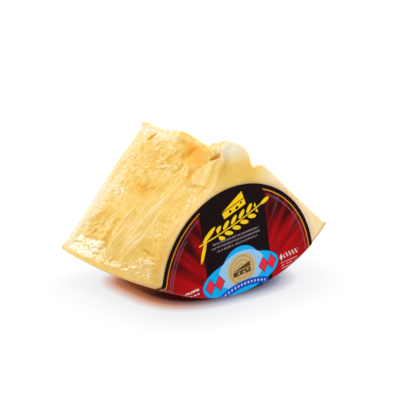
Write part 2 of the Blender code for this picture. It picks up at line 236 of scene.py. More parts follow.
def right_edge(y):
    """The points down the right cut, from the ledge beside the knob to the rind."""
    corner = polar(*right_corner(y))
    top = crest(y)[-1]
    way = corner - top
    side = np.array([way[1], -way[0]]) / np.linalg.norm(way)
    hollow = 0.0025 * (0.5 + 0.5 * noise(y, 0.0, 0.031, 5)) * smooth(edge_depth(y) / 0.015)
    return np.array([top + 0.40 * way + side * hollow, top + 0.76 * way + side * hollow, corner])


# ---------------------------------------------------------------- the broken faces

def facets(u, v, size, stretch, turn, seed):
    """The broken look of hard cheese: small tilted faces that meet in soft creases, between about -1 and 1. Each is
    about size metres wide and stretch times as long, lengthwise turned by an angle in degrees from +u."""
    c, s = math.cos(math.radians(turn)), math.sin(math.radians(turn))
    a, b = (u * c + v * s) / (size * stretch), (-u * s + v * c) / size
    table = np.random.default_rng(seed).uniform(-1.0, 1.0, (5, 64, 64))
    i, j = np.floor(a).astype(int), np.floor(b).astype(int)
    total, weights = np.zeros_like(a), np.zeros_like(a)
    for di in (-1, 0, 1):
        for dj in (-1, 0, 1):
            shift_a, shift_b, height, tilt_a, tilt_b = table[:, (i + di) % 64, (j + dj) % 64]
            da = a - (i + di + 0.5 + 0.45 * shift_a)
            db = b - (j + dj + 0.5 + 0.45 * shift_b)
            weight = np.exp(-9.0 * (da * da + db * db))
            total += weight * (0.55 * height + 0.9 * (tilt_a * da + tilt_b * db))
            weights += weight
    return total / weights


def path_frame(u, v, path):
    """The signed distance from a smooth path through points, above 0 on its left, and the share of its length
    passed."""
    path = np.array(path) * MM
    knots = chord_lengths(path)
    path = catmull_rom(knots, path, np.linspace(0, knots[-1], 4 * len(path)))
    lengths = np.linalg.norm(np.diff(path, axis=0), axis=1)
    passed = np.concatenate([[0.0], np.cumsum(lengths)])
    shape = np.broadcast(u, v).shape
    nearest, signed, share = np.full(shape, np.inf), np.zeros(shape), np.zeros(shape)
    for start, end, length, before in zip(path, path[1:], lengths, passed):
        way = (end - start) / length
        du, dv = u - start[0], v - start[1]
        t = np.clip(du * way[0] + dv * way[1], 0, length)
        side = way[0] * dv - way[1] * du
        distance = np.hypot(du - t * way[0], dv - t * way[1])
        closer = distance < nearest
        nearest = np.where(closer, distance, nearest)
        signed = np.where(closer, np.where(side > 0, distance, -distance), signed)
        share = np.where(closer, (before + t) / passed[-1], share)
    return signed, share


def line(u, v, path, width):
    """1 along a path, fading to 0 about width millimetres away and at its tapered ends."""
    signed, share = path_frame(u, v, path)
    taper = smooth(share / 0.22) * smooth((1 - share) / 0.22)
    return np.exp(-((signed / (width * MM)) ** 2)) * taper


def splinter(u, v, path, width):
    """A shard's lifted edge along a path: 1 on its crest, gentle on the path's left and steep on its right. Also gives
    the foot of the steep side: 1 there and 0 away from it."""
    signed, share = path_frame(u, v, path)
    reach = np.where(signed > 0, width, width * 0.35) * MM
    taper = smooth(share / 0.25) * smooth((1 - share) / 0.25)
    foot = np.exp(-(((signed + 0.55 * width * MM) / (0.30 * width * MM)) ** 2))
    return np.exp(-np.hypot(signed / reach, 0.25) + 0.25) * taper, foot * taper


def spot(u, v, centre, radii, turn=0.0):
    """1 in the middle of an oval and 0 outside it, turned by an angle in degrees."""
    du, dv = u - centre[0] * MM, v - centre[1] * MM
    c, s = math.cos(math.radians(turn)), math.sin(math.radians(turn))
    reach = np.hypot((du * c + dv * s) / (radii[0] * MM), (-du * s + dv * c) / (radii[1] * MM))
    return 1 - smooth(reach)


def pushed_about(u, v, reach):
    """Places on the broken face, moved by up to about reach so that no crack or hollow has a smooth outline."""
    du = noise(u, v, 0.0090, 71) + 0.5 * noise(u, v, 0.0036, 72)
    dv = noise(u, v, 0.0090, 73) + 0.5 * noise(u, v, 0.0036, 74)
    return u + du * reach, v + dv * reach


# The shards that fan out from the rind towards the knob. Paths are in millimetres, as (depth, height above the rind)
SHARDS = [
    ([(77, 16), (73, 23), (70.5, 30), (69, 38), (67.5, 45), (66, 52)], 3.4, 0.9),
    ([(66, 50), (63, 56), (60, 62), (57, 68), (54, 76)], 3.4, 0.9),
    ([(62, 27), (58.5, 34), (57, 41), (56, 47), (53, 55), (53, 64), (51, 74)], 3.0, 0.9),
    ([(57, 20), (50, 30), (47, 40), (45, 50), (42, 64), (39.5, 74), (31, 82)], 4.2, 1.0),
    ([(57, 11), (51, 19), (45.5, 27), (42, 34)], 2.4, 0.6),
    ([(49, 12), (43, 22), (38, 30), (36, 40)], 2.8, 0.5),
    ([(67, 10), (62, 20), (59, 28)], 2.0, 0.5),
    ([(73, 13), (67, 24), (64, 32)], 2.0, 0.5),
    ([(61, 46), (58, 54), (56, 62)], 2.0, 0.4),
    ([(37, 40), (33, 52), (30, 62)], 3.0, 0.4),
    ([(32, 40), (27, 52), (20, 64), (13, 74)], 3.6, 0.4),
]
# Cracks and grooves, with their widths and depths in millimetres
CRACKS = [
    ([(77, 40), (79, 31), (79, 26), (78, 20), (77, 14), (76, 6)], 3.0, 1.0),
    ([(34, 19.5), (29, 20.5), (24, 19.5), (15, 20)], 1.0, 1.3),
    ([(106.5, 98.5), (104, 100.6), (101.5, 104.5), (99, 108)], 1.1, 1.1),
    ([(72, 102), (63, 105), (54, 107)], 2.0, 0.5),
    ([(54, 80), (50.5, 85), (49, 92)], 1.5, 0.8),
    ([(58, 93), (52, 96.5), (48.5, 101), (44, 105), (38, 108)], 2.4, 1.1),
    ([(22, 101), (16, 103.5), (8, 108.5)], 1.9, 0.9),
    ([(113, 15.8), (104, 16), (94, 16.5), (82, 17.5)], 1.2, 0.7),
    ([(28, 45), (20, 46), (10, 48)], 1.6, 0.3),
    ([(24, 39), (18, 40), (11, 38)], 1.4, 0.3),
]
# Hollows where pieces came away: centre, radii, turn and depth
HOLLOWS = [
    ((97, 27), (19, 15), 8, 1.6),
    ((69, 63), (15, 8), 10, 1.3),
    ((61, 41), (4, 6), 0, 0.6),
    ((74, 46), (8, 6), 40, 0.9),
    ((84, 76), (5, 4), 0, 0.5),
    ((34, 85), (5.5, 4.5), 30, 0.8),
    ((20, 28), (16, 9), 0, 0.6),
    ((43, 101), (22, 12), -10, 1.3),
    ((83, 92), (5, 4), 0, 0.4),
]
# Patches of colour: centre, radii, turn and how much paler they are
PATCHES = [
    # Painted light: the thin wall of the scoop behind the knob is painted orange, as if lit through from behind
    ((38, 101.5), (21, 13), -8, -1.45),
    ((42, 107), (12, 4), -12, -1.10),
    ((33, 95), (9, 6), 0, -0.60),
    ((52, 108), (4, 6), 20, -1.30),
    ((58, 106), (7, 2.6), 8, -1.20),
    ((22.5, 102), (3.0, 8), 8, 0.30),
    # A painted glint at the end of the crevice in the knob
    ((7.0, 108.4), (2.4, 2.2), 0, 2.20),
    # Orange places among the crumbs: some are the paste's own colour, and those over the hollows are painted shade in
    # them
    ((84, 77), (5, 5), 0, -0.45),
    ((70, 64), (26, 12), -4, -0.80),
    ((60, 67), (9, 5), 5, -0.55),
    ((81, 66), (9, 5), 0, -0.50),
    ((68, 56), (7, 3.5), 0, -0.45),
    ((84, 57), (9, 3), 8, -0.35),
    ((88, 88), (9, 4), 30, -0.35),
    ((77, 80), (8, 3.5), -20, -0.40),
    ((64, 94), (9, 3.5), 10, -0.35),
    ((73, 48), (6, 6), 30, -0.60),
    ((86, 38), (22, 5), 5, -0.35),
    ((100, 34), (9, 6), 8, -0.55),
    ((108, 26), (5, 10), 0, -0.50),
    ((79, 26), (5, 16), -5, -0.45),
    ((61, 42), (4, 6), 0, -0.65),
    ((50, 77), (7, 6), 0, -0.30),
    ((103, 103), (6, 2.6), 42, -0.60),
    ((83, 91), (5, 4), 0, -0.35),
    ((103, 91), (8, 4), 0, -0.30),
    ((34, 86), (5, 4.5), 30, -1.30),
    ((25, 78), (5, 3), -20, -0.95),
    ((30, 48), (12, 5), 10, -0.40),
    ((29, 60), (8, 8), 20, -0.20),
    ((24, 38), (14, 4), 0, -0.25),
    ((24, 24), (15, 5), 0, -0.30),
    ((9, 12), (8, 10), 0, -0.75),
    ((9, 28), (8, 10), 0, -0.40),
    ((97, 27), (17, 12), 8, -0.30),
    # Pale places
    ((50, 30), (19, 11), -15, 0.20),
    ((44, 58), (4, 20), 4, 0.25),
    ((92, 27), (8, 6), 0, 0.25),
    ((101, 56), (15, 10), 10, 0.60),
    ((12, 66), (7, 16), -20, 0.25),
    ((9, 50), (5, 10), 0, 0.35),
    ((90, 107), (30, 12), 0, 0.50),
    ((18, 93), (6, 12), 0, 0.35),
    ((77, 91), (5, 3), 0, 0.45),
    ((75, 101), (6, 2.5), -12, 0.35),
    ((24, 30), (4, 6), 20, 0.20),
]


def flap(u, v):
    """The smooth tongue of paste below the knob: 1 on it, 1 on its edge, which gets a painted highlight, and 1 along
    the foot of that edge, which gets painted shade.
    """
    signed, share = path_frame(u, v, [(19, 99), (23, 96), (27, 90), (30, 84.8), (27.5, 82), (23.8, 79.8), (17, 80), (10, 80)])
    near = smooth(2 * spot(u, v, (19, 89), (26, 24)))
    edge = smooth(share / 0.15) * smooth((1 - share) / 0.25) * near
    tongue = smooth(0.5 - signed / (1.2 * MM)) * near
    return tongue, np.exp(-((signed / (0.7 * MM)) ** 2)) * edge, np.exp(-((signed / MM - 1.7) ** 2)) * edge


def crevice(u, v):
    """The eye-shaped hole in the knob's side: 1 inside it, and 1 on the pale lip round it."""
    eye = spot(u, v, (14.2, 104.3), (12.5, 3.8), -30)
    hole = smooth((eye - 0.28) / 0.30)
    return hole, smooth((eye - 0.04) / 0.2) * (1 - hole)


def broken_relief(u, v):
    """How far the broken left face stands out, at depth u from the labelled face and height v above the rind."""
    relief = 0.0007 * noise(u, v, 0.024, 11) + 0.0004 * noise(u, v, 0.010, 12) - 0.0004
    near = pushed_about(u, v, 0.0003)
    for path, width, height in SHARDS:
        relief += height * MM * splinter(*near, path, width)[0]
    pushed = pushed_about(u, v, 0.0012)
    for path, width, depth in CRACKS:
        relief -= depth * MM * line(*pushed, path, width)
    for centre, radii, turn, depth in HOLLOWS:
        relief -= depth * MM * spot(*pushed, centre, radii, turn)
    return relief + 0.0011 * flap(*near)[0]


def in_fan(u, v):
    """1 in the fan of long smooth shards and 0 on the crumbly paste round it."""
    fan = smooth((0.078 - u) / 0.008) * smooth((0.084 - v) / 0.020) * smooth((u - 0.024) / 0.014)
    return fan * (1 - smooth(1.6 * spot(u, v, (70, 65), (20, 10))))


def in_strip(u, v):
    """1 on the crinkled, wet-looking strip along the rind and 0 above it. It is broad at the back and narrow in
    front, with a gap where a groove runs down to the rind."""
    top = along(u / MM, (12, 15.5), (30, 15.0), (40, 9.0), (70, 9.0), (80, 16.5), (112, 15.6), (118, 9.0)) * MM
    strip = smooth((top + 0.0008 * noise(u, v, 0.004, 42) - v) / 0.0012) * smooth((v - 0.0022) / 0.0012)
    return strip * smooth((0.119 - u) / 0.004) * smooth((u - 0.011) / 0.004)


def ruggedness(u, v):
    """How crumbly the paste is: 0 in the fan and on the smooth margins, and 1 where it is roughest."""
    rugged = 0.52 + 0.20 * noise(u, v, 0.017, 41)
    rugged += 0.60 * spot(u, v, (99, 55), (20, 14), 10)
    rugged += 0.60 * spot(u, v, (96, 26), (22, 15), 8)
    rugged += 0.45 * spot(u, v, (64, 86), (24, 14))
    rugged += 0.35 * spot(u, v, (104, 78), (14, 8))
    rugged += 0.60 * spot(u, v, (70, 65), (20, 12))
    rugged *= (1 - in_fan(u, v)) * (1 - 0.85 * flap(u, v)[0])
    return rugged * smooth((0.118 - u) / 0.012) * smooth((0.108 - v) / 0.014)


def flow(u, v):
    """Places along and across the grain of the flakes, which turns slowly from place to place."""
    turning = 0.12 * u + 0.020 * np.exp(-u / 0.030)
    return u, v + turning + 0.0070 * noise(u, v, 0.034, 44) + 0.0015 * noise(u, v, 0.009, 45)


def fan_across(u, v):
    """Places across the fan, whose lines curve: they lean near the rind and stand nearly upright at the top."""
    return u + 0.028 * (1 - np.exp(-v / 0.042))


def grain_relief(u, v):
    """The finer grain on top of the broken relief, in metres: flakes and crumbs, long shards with sharp creases
    between them in the fan, and a crinkled strip along the rind."""
    fan, strip, rugged = in_fan(u, v), in_strip(u, v), ruggedness(u, v)
    lengthwise, across = flow(u, v)
    grain = (1 - fan) * (1 - strip) * 0.00022 * noise(lengthwise * 0.34, across, 0.0021, 33)
    grain += rugged * (1 - strip) * 0.00042 * noise(lengthwise * 0.5, across, 0.0016, 37)
    grain += rugged * (1 - strip) * 0.00042 * noise(u, v, 0.0026, 39)
    hollow = spot(u, v, (97, 27), (22, 16), 8)
    grain += hollow * 0.00060 * noise(u, v * 0.45, 0.0022, 36)
    c = fan_across(u, v)
    patchy = 0.5 + 0.5 * noise(u, v, 0.012, 46)
    grain += fan * 0.00042 * (np.abs(noise(c, v * 0.17, 0.0062, 34)) - 0.3)
    grain += fan * patchy * 0.00030 * (np.abs(noise(c, v * 0.22, 0.0029, 35)) - 0.3)
    grain += strip * 0.00036 * noise(u * 0.45, v + 0.12 * u, 0.0019, 38)
    return grain + strip * 0.0004


def inside_band(u, v):
    """1 on the broken part of the left face and 0 on the smooth band that the knife left round it."""
    inner = SCORED_BAND - 0.003 + 0.0012 * noise(u, v, 0.010, 75)
    return smooth((v - 0.45 * inner) / 0.005) * smooth((edge_depth(u) - inner) / 0.008)


def paste_tone_and_shade(u, v):
    """How pale the paste is at a place on the left face: 0 on plain paste, 1 where it is cream, and down to -1 where it
    is thin or deep and is painted orange, for light shining through thin paste and for shade in deep places. It also
    holds painted highlights and painted shade on the relief, and painted glints on the strip along the rind."""
    tone_and_shade = -0.06 + (1.05 - 0.35 * smooth((v - 0.050) / 0.015)) * smooth((u - 0.097) / 0.024)
    tone_and_shade += 0.10 * in_fan(u, v) - 0.85 * smooth((0.012 - u) / 0.008) * smooth((0.062 - v) / 0.03)
    near = pushed_about(u, v, 0.0003)
    # Painted highlight along each shard's crest, and painted shade at the foot of its steep side
    for path, width, height in SHARDS:
        crest_line, foot = splinter(*near, path, width)
        tone_and_shade += (0.30 * crest_line - 0.55 * foot) * min(height, 1.0)
    # Painted highlight on the flap's edge and painted shade along its foot
    _, edge, foot = flap(*near)
    tone_and_shade += 0.55 * edge - 0.50 * foot
    pushed = pushed_about(u, v, 0.0012)
    # Painted shade in the cracks
    for path, width, depth in CRACKS:
        tone_and_shade -= 0.50 * depth * line(*pushed, path, width * 1.2)
    wide = pushed_about(u, v, 0.0022)
    for centre, radii, turn, paler in PATCHES:
        tone_and_shade += paler * spot(*wide, centre, (radii[0] * 1.25, radii[1] * 1.25), turn)
    # Painted glints: the strip along the rind is painted paler, most towards the back, where its film catches the key
    # light
    wet = along(u / MM, (15, 0.40), (24, 0.25), (34, 0.20), (46, 0.10), (70, 0.10), (80, 0.35), (90, 0.85), (112, 1.0))
    return tone_and_shade * (1 - in_strip(u, v)) + wet * in_strip(u, v)


def face_tone_and_shade(x, z):
    """How pale the smooth labelled face is painted: a little random tone, painted light that makes the knob cream and
    the face paler towards the right, beside the label and left of the knob, and painted shade that makes it golden
    under the knob.
    """
    tone_and_shade = 0.16 + 0.08 * noise(x + 1.0, z + 1.0, 0.012, 81)
    tone_and_shade -= 0.50 * spot(x, z, (1, -32), (27, 16))
    tone_and_shade += 1.00 * smooth((z + 0.0265) / 0.014)
    tone_and_shade += 0.42 * spot(x, z, (-30, -44), (17, 9), 40)
    tone_and_shade += 0.50 * spot(x, z, (-14, -22), (9, 6), 60)
    return tone_and_shade + 0.70 * smooth((x - 0.010) / 0.026)


def outline(y):
    """The chunk's closed outline at depth y, before its faces get their relief: along the rind from right to left, up
    the left cut, over the crest and down the right cut. Gives the points, the rounding of the edge that each has at
    the flat faces, and each one's knot along the cut: 0 at the left rind, 1 at the crest, and below 0 on the rind."""
    floor = FLOOR_Z + (LABEL_STACK if y < STEP_Y else 0.0)
    (left_radius, left_angle), (right_radius, right_angle) = left_corner(y), right_corner(y)
    t = np.linspace(0.0, 1.0, RIND_STEPS + 1)
    radius = left_radius + (right_radius - left_radius) * smooth(1 - t / 0.06)
    rind = polar(radius, right_angle + (left_angle - right_angle) * t)
    rind[:, 1] = pressed_flat(rind[:, 1], floor)

    knots, left = left_edge(y)
    top, right = crest(y), right_edge(y)
    top_knots = knots[-1] + chord_lengths(np.vstack([left[-1], top, right]))[1:] / CUT_LENGTH
    knots = np.concatenate([knots, top_knots])
    points = np.vstack([left, top, right])
    ledge = top_knots[len(top) - 1]
    t_left = np.linspace(0.0, 1.0, LEFT_STEPS + 1)[1:]
    t_top = np.linspace(1.0, ledge, CREST_STEPS + 1)[1:]
    t_right = np.linspace(ledge, knots[-1], RIGHT_STEPS + 1)[1:-1]
    t = np.concatenate([t_left, t_top, t_right])
    cut = catmull_rom(knots, points, t)
    to_corner = np.minimum(t, knots[-1] - t) * CUT_LENGTH
    edge = along(t, (0.72, 0.0012), (0.92, 0.0044), (1.04, 0.0036), (ledge, 0.0016)) * smooth(to_corner / 0.008)
    rounds = np.concatenate([np.zeros(RIND_STEPS + 1), edge])
    return np.vstack([rind, cut]), rounds, np.concatenate([np.full(RIND_STEPS + 1, -1.0), t]), (ledge, knots[-1])


def slice_depths():
    """The depths of the outlines, close together where the rims are rounded."""
    rim = RIM_ROUND * (1 - np.cos(np.linspace(0, math.pi / 2, RIM_STEPS + 1)))
    front = np.linspace(RIM_ROUND, STEP_Y - STEP_RUN, SLICES // 2 + 1)[1:]
    back = np.linspace(STEP_Y, WHEEL_THICKNESS - RIM_ROUND, SLICES // 2)
    return np.concatenate([rim, front, back, WHEEL_THICKNESS - rim[::-1][1:]])


def draw_in(points, rounds, depth):
    """Moves an outline inwards by what its rounded edge takes off at this depth below a flat face."""
    way = np.roll(points, -1, axis=0) - np.roll(points, 1, axis=0)
    outward = np.stack([-way[:, 1], way[:, 0]], axis=1) / np.linalg.norm(way, axis=1)[:, None]
    return points - outward * rounding(depth, np.maximum(rounds, 1e-6))[:, None]


# ---------------------------------------------------------------- making meshes

def make_mesh(name, vertices, quads, triangles, finish, values=None):
    """A smooth mesh with named values on its vertices."""
    mesh = bpy.data.meshes.new(name)
    mesh.from_pydata(vertices, [], [*quads, *triangles])
    mesh.shade_smooth()
    mesh.materials.append(finish)
    for key, numbers in (values or {}).items():
        layer = mesh.attributes.new(key, "FLOAT", "POINT")
        layer.data.foreach_set("value", np.asarray(numbers, np.float32))
    made = bpy.data.objects.new(name, mesh)
    bpy.context.scene.collection.objects.link(made)
    return made


def blurred(field, reach):
    """A field on the grid of slices and outline points, averaged over reach cells either way."""
    for axis in (0, 1):
        total = np.zeros_like(field)
        for step in range(-reach, reach + 1):
            total += np.roll(field, step, axis=axis)
        field = total / (2 * reach + 1)
    return field


def leaned_back(x, z, y):
    """How far the front of the knob leans back, above the label and to the left, which rounds it off."""
    rise = np.clip((z + 0.0360) / 0.0276, 0.0, 1.0)
    aside = np.clip((-0.001 - x) / 0.012, 0.0, 1.2)
    return (0.0036 * rise**2 + 0.0030 * aside**2 * smooth(rise / 0.4)) * (1 - smooth(y / 0.014))


def make_chunk(finish):
    """The chunk as outlines stacked from the labelled face to the back one, each end closed by shrinking rings."""
    depths = slice_depths()
    rings, rounds, t, ends = zip(*[outline(y) for y in depths])
    rings, rounds, t, ends = np.array(rings), np.array(rounds), np.array(t), np.array(ends)
    count = rings.shape[1]
    y = np.broadcast_to(depths[:, None], t.shape)
    on_cut = t >= 0
    height = np.clip(t, 0, None) * CUT_LENGTH

    # The left face's relief fades out over the crest, and the right face's comes in
    from_rind, to_flat = height, edge_depth(y)
    left_share = on_cut * (1 - smooth((t - 1.0) / 0.05))
    coarse = broken_relief(y, np.minimum(height, CUT_LENGTH)) * inside_band(y, height)
    margin = smooth((from_rind - 0.002) / 0.003) * smooth((to_flat - 0.005) / 0.004)
    hole, lip = crevice(*pushed_about(y, height, 0.0002))
    coarse += (0.0004 * lip - 0.0020 * hole) * on_cut
    fine = grain_relief(y, height) * margin * (1 - hole)
    ledge, end = ends[:, :1], ends[:, 1:]
    down = np.clip((t - ledge) / (end - ledge), 0, 1)
    from_right_rind = (end - t) * CUT_LENGTH
    right_share = on_cut * smooth((t - ledge) / 0.08) * smooth((from_right_rind - 0.006) / 0.008)
    rough = 0.0014 * noise(y, height, 0.016, 21) + 0.0007 * facets(y, height, 0.008, 1.6, 20, 22)
    rough *= right_share * smooth(to_flat / 0.012)
    turn = smooth((t - 1.0) / np.maximum(ledge - 1.0, 0.01))[..., None]
    left_out, right_out = np.array([-0.79, 0.61]), np.array([0.65, 0.76])
    rings = rings + (coarse * left_share)[..., None] * left_out + rough[..., None] * right_out
    rings = rings + (fine * on_cut * smooth(from_right_rind / 0.006))[..., None] * (
        left_out * (1 - turn) + right_out * turn
    )
    rings = np.array([draw_in(p, r, edge_depth(d)) for p, r, d in zip(rings, rounds, depths)])
    x, z = rings[:, :, 0], rings[:, :, 1]
    places = to_row(x, y + leaned_back(x, z, y), z)

    # What colours the paste: painted shade and light from how far a place stands proud of those round it and from how
    # far it turns away from the key light at the back, and the tone given to it
    relief = coarse * left_share + fine + rough
    proud_shade = (relief - blurred(relief, 9)) / 0.0010
    turned_away_shade = np.gradient(relief, axis=0) / np.gradient(depths)[:, None]
    tone_and_shade = paste_tone_and_shade(y, height) * left_share * smooth(from_rind / 0.004)
    # Painted shade on slopes that turn away from the key light, and painted light on those that face it
    tone_and_shade -= 0.9 * np.clip(blurred(turned_away_shade, 1), -0.4, 0.5) * left_share
    # Painted light on the knob's top and along the top of the crest at the back
    tone_and_shade += 0.50 * smooth((t - 0.97) / 0.05) * smooth((0.0265 - y) / 0.004)
    tone_and_shade += 0.60 * smooth((t - 0.975) / 0.03) * smooth((y - 0.062) / 0.010) * (1 - right_share)
    # Painted shade: deep orange inside the crevice, with a paler lip round it
    tone_and_shade += 0.15 * lip - (1.3 + tone_and_shade) * hole
    tone_and_shade += right_share * (0.75 - 0.45 * down)
    at_flat = smooth(1.3 - y / 0.0060)
    tone_and_shade += (face_tone_and_shade(x, z) - tone_and_shade) * at_flat
    on_left = on_cut * margin * left_share
    fan, strip = on_left * in_fan(y, height), on_left * in_strip(y, height)
    rugged = ruggedness(y, height) * left_share + (1 - left_share) * 0.5

    vertices = [places.reshape(-1, 3)]
    values = {
        "proud_shade": proud_shade * on_cut * (1 - at_flat),
        # The tone value holds the paste's own tone together with painted light and painted shade
        "tone_and_shade": tone_and_shade * on_cut,
        "rind": np.where(on_cut, 0.35 * smooth((0.016 - y) / 0.010) * smooth((0.072 - height) / 0.03), 1.0),
        "depth_mm": y / MM,
        "height_mm": height / MM,
        "crumbly": on_cut * margin * rugged,
        "flaky": on_cut * margin * (1 - hole) * (1 - 0.6 * flap(y, height)[0]) - 0.7 * fan - strip,
        "fan": fan,
        "strip": strip,
    }
    values = {key: [numbers.ravel()] for key, numbers in values.items()}

    along_ring = np.arange(count)
    following = (along_ring + 1) % count
    quads, triangles = [], []
    for j in range(len(depths) - 1):
        low, high = j * count, (j + 1) * count
        quads += np.stack([low + along_ring, high + along_ring, high + following, low + following], 1).tolist()

    start = len(depths) * count
    centre = np.array([0.004, -0.070])
    for end_ring, inwards in ((0, 1), (len(depths) - 1, -1)):
        previous = end_ring * count + along_ring
        for k in range(1, CAP_RINGS + 1):
            share = 1 - (k / CAP_RINGS) ** 1.7
            points = centre + (rings[end_ring] - centre) * share
            points = points if k < CAP_RINGS else points[:1]
            dent = 0.00010 * (1 + noise(points[:, 0] + 1.0, points[:, 1] + 1.0, 0.011, 51)) * smooth((1 - share) / 0.3)
            depth = depths[end_ring] + inwards * dent
            vertices.append(to_row(points[:, 0], depth + leaned_back(*points.T, depth), points[:, 1]))
            for key, blocks in values.items():
                tone_and_shade = face_tone_and_shade(points[:, 0], points[:, 1]) if inwards > 0 else np.full(len(points), 0.7)
                blocks.append(tone_and_shade if key == "tone_and_shade" else np.zeros(len(points)))
            if k < CAP_RINGS:
                current = start + along_ring
                faces = np.stack([previous, previous[following], current[following], current], 1)
                quads += faces[:, ::inwards].tolist()
            else:
                faces = np.stack([previous, previous[following], np.full(count, start)], 1)
                triangles += faces[:, ::inwards].tolist()
            previous = start + along_ring
            start += len(points)

    values = {key: np.concatenate(blocks) for key, blocks in values.items()}
    return make_mesh("chunk", np.vstack(vertices), quads, triangles, finish, values)


# ---------------------------------------------------------------- the label

def label_place(reach, angle, lift):
    """Where points of the label lie, lift above the cheese. Their reach is their distance from the wheel's axis
    when the label is spread flat: on the flat face up to the rim, and beyond that round it and along the rind."""
    flat_reach = WHEEL_RADIUS - RIM_ROUND
    turn = np.clip((reach - flat_reach) / RIM_ROUND, 0.0, math.pi / 2)
    past = np.clip(reach - flat_reach - RIM_ROUND * math.pi / 2, 0.0, None)
    y = RIM_ROUND * (1 - np.cos(turn)) + past
    on_face = np.minimum(reach, flat_reach)
    rim = rind_radius(y) - RIM_ROUND * (1 - np.sin(turn)) + lift * np.sin(turn)
    radius = np.where(reach < flat_reach, on_face, rim)
    depth = y - lift * np.cos(turn)
    z = pressed_flat(-radius * np.cos(angle), FLOOR_Z + LABEL_STACK - lift)
    return to_row(radius * np.sin(angle), depth, z)


def make_label(finish):
    """The label: a thin disc, in rows that follow the rim that it is folded over."""
    rows_on_face, rows_on_rim, rows_on_rind, columns = 70, 10, 56, 110
    nearest, farthest = LABEL_DISTANCE - LABEL_RADIUS, LABEL_DISTANCE + LABEL_RADIUS
    rim_start = WHEEL_RADIUS - RIM_ROUND
    rim_end = rim_start + RIM_ROUND * math.pi / 2
    on_face = nearest + (rim_start - nearest) * (1 - np.cos(np.linspace(0, math.pi / 2, rows_on_face + 1)))
    on_rim = np.linspace(rim_start, rim_end, rows_on_rim + 1)[1:]
    on_rind = rim_end + (farthest - rim_end) * np.sin(np.linspace(0, math.pi / 2, rows_on_rind + 1))[1:]
    reaches = np.concatenate([on_face, on_rim, on_rind])[1:-1]

    half = disc_half_angle(reaches, LABEL_RADIUS)
    share = np.linspace(-1, 1, columns + 1)
    angles = LABEL_ANGLE + half[:, None] * share
    reach_all = np.concatenate([[nearest], np.repeat(reaches, columns + 1), [farthest]])
    angle_all = np.concatenate([[LABEL_ANGLE], angles.ravel(), [LABEL_ANGLE]])
    flat = polar(reach_all, angle_all) - np.array(LABEL_CENTRE)
    c, s = math.cos(LABEL_TILT), math.sin(LABEL_TILT)
    print_u, print_v = flat[:, 0] * c + flat[:, 1] * s, -flat[:, 0] * s + flat[:, 1] * c

    ripple = 0.00005 * noise(flat[:, 0] + 1, flat[:, 1] + 1, 0.006, 61)
    ripple *= smooth((LABEL_RADIUS - np.hypot(*flat.T)) / 0.004)
    under = label_place(reach_all, angle_all, LABEL_GAP)
    over = label_place(reach_all, angle_all, LABEL_STACK - 0.00005 + ripple)
    layer = len(under)
    width = columns + 1

    def at(row, column):
        return 1 + row * width + column

    quads, triangles = [], []
    last = len(reaches) - 1
    for row in range(last):
        for column in range(columns):
            quads.append((at(row, column), at(row, column + 1), at(row + 1, column + 1), at(row + 1, column)))
    for column in range(columns):
        triangles.append((0, at(0, column + 1), at(0, column)))
        triangles.append((layer - 1, at(last, column), at(last, column + 1)))
    quads += [tuple(i + layer for i in face[::-1]) for face in quads]
    triangles += [tuple(i + layer for i in face[::-1]) for face in triangles]
    left = [at(row, 0) for row in range(last + 1)]
    right = [at(row, columns) for row in range(last + 1)]
    rim = [0, *left, layer - 1, *right[::-1]]
    for a, b in zip(rim, rim[1:] + rim[:1]):
        quads.append((a, b, b + layer, a + layer))
    values = {"print_u": np.tile(print_u, 2) / MM, "print_v": np.tile(print_v, 2) / MM}
    made = make_mesh("printed_label", np.vstack([under, over]), quads, triangles, finish, values)
    made.data.set_sharp_from_angle(angle=math.radians(50))
    return made


# ---------------------------------------------------------------- materials

class Field:
    """A number that varies over a surface: the output of a shader node, with arithmetic."""

    def __init__(self, tree, socket):
        self.tree = tree
        self.socket = socket

    def math(self, operation, *others, clamp=False):
        node = self.tree.nodes.new("ShaderNodeMath")
        node.operation = operation
        node.use_clamp = clamp
        for socket, value in zip(node.inputs, (self, *others)):
            if isinstance(value, Field):
                self.tree.links.new(value.socket, socket)
            else:
                socket.default_value = value
        return Field(self.tree, node.outputs[0])

    def __add__(self, other):
        return self.math("ADD", other)

    def __sub__(self, other):
        return self.math("SUBTRACT", other)

    def __mul__(self, other):
        return self.math("MULTIPLY", other)

    def __truediv__(self, other):
        return self.math("DIVIDE", other)

    def __rsub__(self, other):
        return self.math("MULTIPLY_ADD", -1.0, other)

    __radd__ = __add__
    __rmul__ = __mul__

    def absolute(self):
        return self.math("ABSOLUTE")

    def squared(self):
        return self * self

    def root(self):
        return self.math("SQRT")

    def lowest(self, other):
        return self.math("MINIMUM", other)

    def highest(self, other):
        return self.math("MAXIMUM", other)

    def wrapped(self, period):
        """The remainder within a period, from 0 up."""
        return self.math("FLOORED_MODULO", period)

    def clamped(self):
        return self.math("ADD", 0.0, clamp=True)

    def between(self, low, high):
        """0 at low and below, 1 at high and above."""
        return self.math("MULTIPLY_ADD", 1.0 / (high - low), -low / (high - low), clamp=True)

    def band(self, low, high, soft=0.25):
        """1 from low to high and 0 outside, with soft ends."""
        return self.between(low - soft / 2, low + soft / 2) * self.between(high + soft / 2, high - soft / 2)


